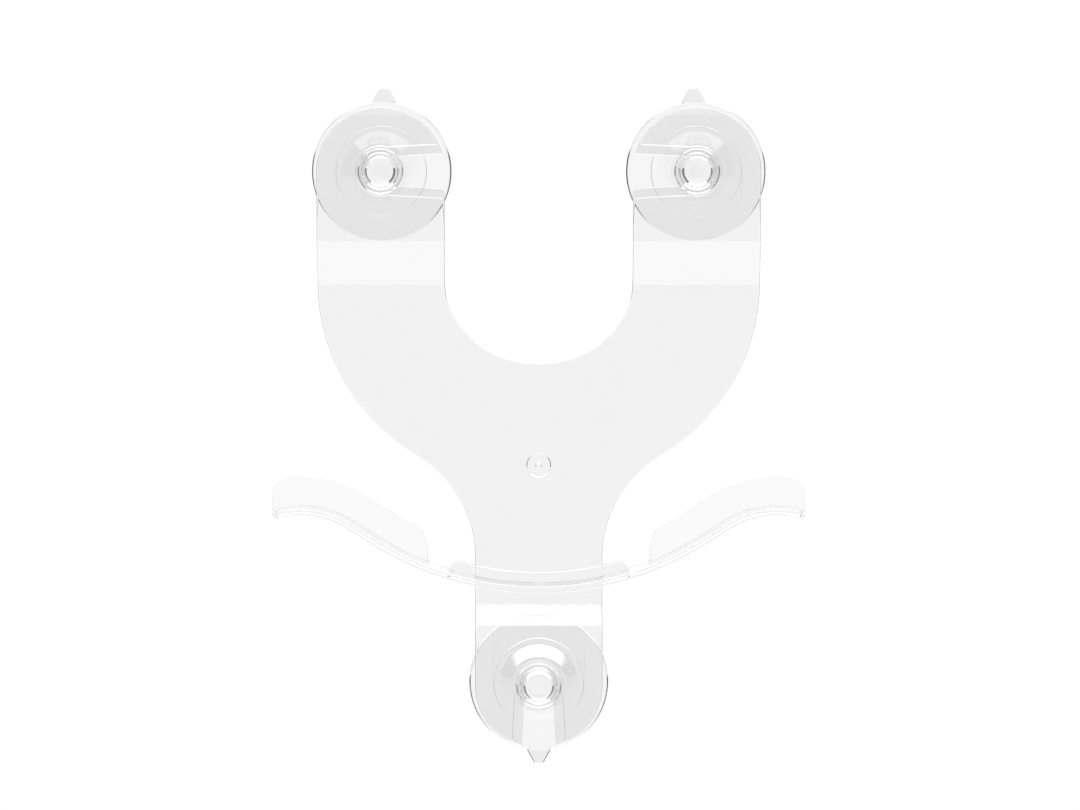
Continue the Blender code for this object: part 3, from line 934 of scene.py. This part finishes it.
# --- Suction cups --------------------------------------------------------------------------------
@dataclass
class SuctionCup:
    """A one-piece cup with its skirt, shoulder, neck, mushroom head and tab. Sizes in millimetres."""

    place: CupPlace
    rim_wall: float = 1.2
    rim_draft: float = 0.5          # how far the rim wall leans in
    rim_slope: float = 2.4
    skirt_wall: float = 1.3
    contact: float = 1.0
    hollow_depth: float = 5.0
    step_radius: float = 14.7
    step_height: float = 0.8
    shoulder_radius: float = 9.0
    cone_foot: float = 12.9         # the cone below the shoulder ends here, in a shallow ring
    shoulder_top: float = 9.5
    neck_radius: float = 4.3
    head_radius: float = 7.5
    head_base: float = 11.6
    head_height: float = 5.0
    head_flange: float = 1.7
    head_top_radius: float = 4.3
    head_draft: float = 0.6         # how far each step of the head leans in
    collar_radius: float = 6.1
    collar_height: float = 0.8
    dimple_radius: float = 1.0
    dimple_width: float = 2.2
    dimple_depth: float = 0.15
    tab_length: float = 4.5
    tab_root: float = 7.2
    tab_tip: float = 2.6
    tab_wall: float = 1.0
    tab_lift: float = 0.1
    steps: int = 192

    def _hollow(self, radius: float) -> float:
        """Follow the spherical underside.

        Args:
            radius: distance from the cup's axis.

        Returns:
            Its height above the pane there.
        """
        edge = self.place.radius - self.contact
        sphere = (edge**2 + self.hollow_depth**2) / (2 * self.hollow_depth)
        return self.hollow_depth - sphere + math.sqrt(sphere**2 - radius**2)

    def _profile(self) -> Outline:
        """Draw the cup's half section.

        Returns:
            (radius, height above the pane), from the head's middle round to the hollow's middle.
        """
        rim = self.place.radius
        top = self.head_base + self.head_height
        flange_top = self.head_base + self.head_flange
        collar_top = flange_top + self.collar_height
        step_top = self._hollow(self.step_radius) + self.skirt_wall + self.step_height
        slope_start = rim - self.rim_slope
        corners = [
            (0.0, top - self.dimple_depth, 0),
            (self.dimple_radius, top - self.dimple_depth, 0.3),
            (self.dimple_radius + self.dimple_width, top, 0.2),
            (self.head_top_radius, top, 0.25),
            (self.head_top_radius + self.head_draft, collar_top, 0.15),
            (self.collar_radius - self.head_draft, collar_top, 0.15),
            (self.collar_radius, flange_top, 0.15),
            (self.head_radius - self.head_draft, flange_top, 0.2),
            (self.head_radius, self.head_base + 0.3, 0.2),
            (self.head_radius - 0.3, self.head_base, 0.2),
            (self.neck_radius, self.head_base, 0.4),
            (self.neck_radius, self.shoulder_top, 0.5),
            (self.shoulder_radius, self.shoulder_top, 1.2),
            (self.cone_foot, step_top + 0.5, 1.5),
            (self.step_radius, step_top, 0.35),
            (self.step_radius, step_top - self.step_height, 0.3),
            (slope_start, self._hollow(slope_start) + self.skirt_wall, 0.6),
            (rim - self.rim_draft, self.rim_wall, 0.25),
            (rim, 0.3, 0.2),
            (rim - 0.2, 0.0, 0.1),
        ]
        edge = rim - self.contact
        rings = 12
        radii = [edge * ring / rings for ring in range(rings, -1, -1)]
        return rounded(corners, 4) + [(radius, self._hollow(radius)) for radius in radii]

    def _tab(self) -> bpy.types.Object:
        """Make the pull tab, in the plane of the rim.

        Returns:
            The tab, pointing along its second coordinate.
        """
        rim = self.place.radius
        root = self.tab_root / 2
        tip = self.tab_tip / 2
        corners = [
            (-root - 0.6, rim - self.rim_wall, 0), (root + 0.6, rim - self.rim_wall, 0),
            (root, rim + 0.3, 1.0),
            (tip, rim + self.tab_length, 1.0), (-tip, rim + self.tab_length, 1.0),
            (-root, rim + 0.3, 1.0),
        ]
        low = self.tab_lift
        high = low + self.tab_wall
        rings = [(0.15, low), (0.0, low + 0.2), (0.4, high - 0.1), (0.6, high)]
        return Solid.lofted(rounded(corners, 6), rings).named("tab")

    def build(self) -> bpy.types.Object:
        """Make the cup where its CAD node is.

        Returns:
            One closed solid in metres.
        """
        name = f"soft_{self.place.node}"
        cup = Solid.turned(self._profile(), self.steps).named(name)
        combine(cup, self._tab(), Join.UNION)
        x, z = self.place.axis
        cup.data.transform(
            Matrix.Translation((x * MM, 0.0, z * MM))
            @ Matrix.Rotation(self.place.turn, 4, "Y")
            @ Matrix.Rotation(math.pi / 2, 4, "X")
        )
        polish(cup, CRISP_DEGREES)
        return cup

    def dress(self, piece: bpy.types.Object, material: bpy.types.Material) -> bpy.types.Object:
        """Give the cup its material and its body, and hide the CAD node that it takes the place of.

        Args:
            piece: the finished solid.
            material: its plastic.

        Returns:
            The same object.
        """
        piece.data.materials.clear()
        piece.data.materials.append(material)
        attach(piece, self.place.body)
        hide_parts(self.place.node)
        return piece


# --- Studio --------------------------------------------------------------------------------------
@dataclass
class Studio:
    """A white room in high key: a lit backdrop, a bright ceiling, dim walls and a pale floor."""

    backdrop: float = 1.03          # brightness behind the cradle and below the horizon
    ceiling: float = 2.8
    room: float = 1.0               # brightness of the side that faces the cradle's front
    walls: float = 0.08             # brightness of the dark walls beside the backdrop and round the camera
    side_walls: Pair = (0.42, 0.58)     # each edge starts and ends here, on the axes of a direction
    camera_corner: Pair = (-0.970, -0.985)
    turn_round: Pair = (0.15, -0.15)
    wall_foot: Pair = (-0.19, -0.14)
    ceiling_edge: Pair = (0.66, 0.74)
    floor_drop: float = 0.19        # metres from the cradle's lowest point down to the floor
    floor_radius: float = 1.1       # metres
    floor_paint: str = "#bebebe"    # matt white in shade
    softbox_size: Pair = (1.2, 0.9)     # metres
    softbox_watts: float = 2.0
    pool_spread: float = math.radians(20)
    pool_watts: float = 140.0
    lens: float = 139.2             # millimetres
    sensor: float = 36.0            # millimetres
    aim: tuple[float, float, float] = (0.0004, -0.006, 0.0075)      # metres off the middle of the CAD box
    distance: float = 1.36          # metres from the camera to the point it looks at
    elevation: float = math.radians(2.8)

    def build(self) -> None:
        """Make the room, the lights and the camera."""
        self._colours()
        self._light_paths()
        self._world()
        self._floor()
        self._lights()
        self._camera()

    def _colours(self) -> None:
        """Show white as white."""
        view = bpy.context.scene.view_settings
        view.view_transform = "Standard"
        view.look = "None"

    def _light_paths(self) -> None:
        """Let light bounce long enough to find its way out of clear walls."""
        cycles = bpy.context.scene.cycles
        cycles.max_bounces = 20
        cycles.transmission_bounces = 20
        cycles.glossy_bounces = 20

    def _world(self) -> None:
        """Set brightness by direction: white behind, overhead and below, dim at the sides.

        Each row is (axis of the direction, where the edge starts and ends, brightness before, after).
        """
        world = bpy.data.worlds.new("white_room")
        bpy.context.scene.world = world
        world.use_nodes = True
        tree = world.node_tree
        direction = add_node(tree, "ShaderNodeTexCoord").outputs["Generated"]
        axes = add_node(tree, "ShaderNodeSeparateXYZ", {0: direction}).outputs

        sideways = add_node(tree, "ShaderNodeMath", {0: axes["X"]}, operation="ABSOLUTE").outputs[0]
        changes = {
            "behind": (sideways, self.side_walls, self.backdrop, self.walls),
            "facing": (axes["Y"], self.camera_corner, self.room, self.walls),
            "around": (axes["Y"], self.turn_round, "behind", "facing"),
            "standing": (axes["Z"], self.wall_foot, self.backdrop, "around"),
            "overhead": (axes["Z"], self.ceiling_edge, 0.0, self.ceiling),
        }
        brightness: dict[str | float, bpy.types.NodeSocket] = {}
        for name, (measure, edge, first, last) in changes.items():
            brightness[name] = add_node(tree, "ShaderNodeMapRange", {
                "Value": measure, "From Min": edge[0], "From Max": edge[1],
                "To Min": brightness.get(first, first), "To Max": brightness.get(last, last),
            }, interpolation_type="SMOOTHSTEP").outputs[0]
        brightest = add_node(tree, "ShaderNodeMath", {
            0: brightness["standing"], 1: brightness["overhead"],
        }, operation="MAXIMUM")
        background = tree.nodes["Background"]
        background.inputs["Color"].default_value = (1.0, 1.0, 1.0, 1.0)
        tree.links.new(brightest.outputs[0], background.inputs["Strength"])

    def _floor(self) -> None:
        """A round pale floor well below the cradle."""
        shape = bmesh.new()
        bmesh.ops.create_circle(shape, cap_ends=True, segments=96, radius=self.floor_radius)
        mesh = bpy.data.meshes.new("pale_floor")
        shape.to_mesh(mesh)
        shape.free()
        floor = bpy.data.objects.new("pale_floor", mesh)
        floor.location.z = CAD_BOX[0][2] - self.floor_drop
        bpy.context.scene.collection.objects.link(floor)
        paint = bpy.data.materials.new("matt_white_floor")
        paint.use_nodes = True
        shader = paint.node_tree.nodes["Principled BSDF"]
        shader.inputs["Base Color"].default_value = linear(self.floor_paint)
        shader.inputs["Roughness"].default_value = 0.9
        mesh.materials.append(paint)

    def _lamp(self, light: bpy.types.Light, place: Vector, target: Vector) -> None:
        """Hang a light and aim it.

        Args:
            light: the light's data.
            place: where it hangs, in metres.
            target: what it faces.
        """
        lamp = bpy.data.objects.new(light.name, light)
        lamp.location = place
        lamp.rotation_euler = (target - lamp.location).to_track_quat("-Z", "Y").to_euler()
        bpy.context.scene.collection.objects.link(lamp)

    def _lights(self) -> None:
        """A wide softbox overhead, and a soft pool of light on the floor below the cradle."""
        softbox = bpy.data.lights.new("overhead_softbox", "AREA")
        softbox.shape = "RECTANGLE"
        softbox.size, softbox.size_y = self.softbox_size
        softbox.energy = self.softbox_watts
        self._lamp(softbox, Vector((0.0, -0.2, 1.6)), Vector((0.0, 0.0, 0.0)))
        pool = bpy.data.lights.new("floor_pool", "SPOT")
        pool.spot_size = self.pool_spread
        pool.spot_blend = 0.2
        pool.shadow_soft_size = 0.05
        pool.energy = self.pool_watts
        self._lamp(pool, Vector((0.0, 0.3, 1.5)), Vector((0.0, 0.3, 0.0)))

    def _camera(self) -> None:
        """A long lens straight in front, a little above."""
        low, high = CAD_BOX
        target = Vector(((low[0] + high[0]) / 2, 0.0, (low[2] + high[2]) / 2)) + Vector(self.aim)
        back = Vector((0.0, -math.cos(self.elevation), math.sin(self.elevation)))
        camera = bpy.data.cameras.new("camera")
        camera.lens = self.lens
        camera.sensor_width = self.sensor
        holder = bpy.data.objects.new("camera", camera)
        holder.location = target + back * self.distance
        holder.rotation_euler = (-back).to_track_quat("-Z", "Y").to_euler()
        bpy.context.scene.collection.objects.link(holder)
        bpy.context.scene.camera = holder


# --- Assembly ------------------------------------------------------------------------------------
def main() -> None:
    """Build the studio, the bracket and the cups, and log each piece's face count and the CAD node it
    takes the place of.
    """
    logging.basicConfig(level=logging.INFO, format="%(name)s: %(message)s")
    Studio().build()
    bracket = Bracket()
    pieces = {"bracket": bracket.dress(bracket.build(), POLISHED_ACRYLIC.material())}
    pvc = SOFT_PVC.material()
    for place in CupPlace:
        cup = SuctionCup(place)
        pieces[place.node] = cup.dress(cup.build(), pvc)
    for node, piece in pieces.items():
        LOG.info("%s: %d faces, stands for %s", piece.name, len(piece.data.polygons), node)


if __name__ == "__main__":
    main()
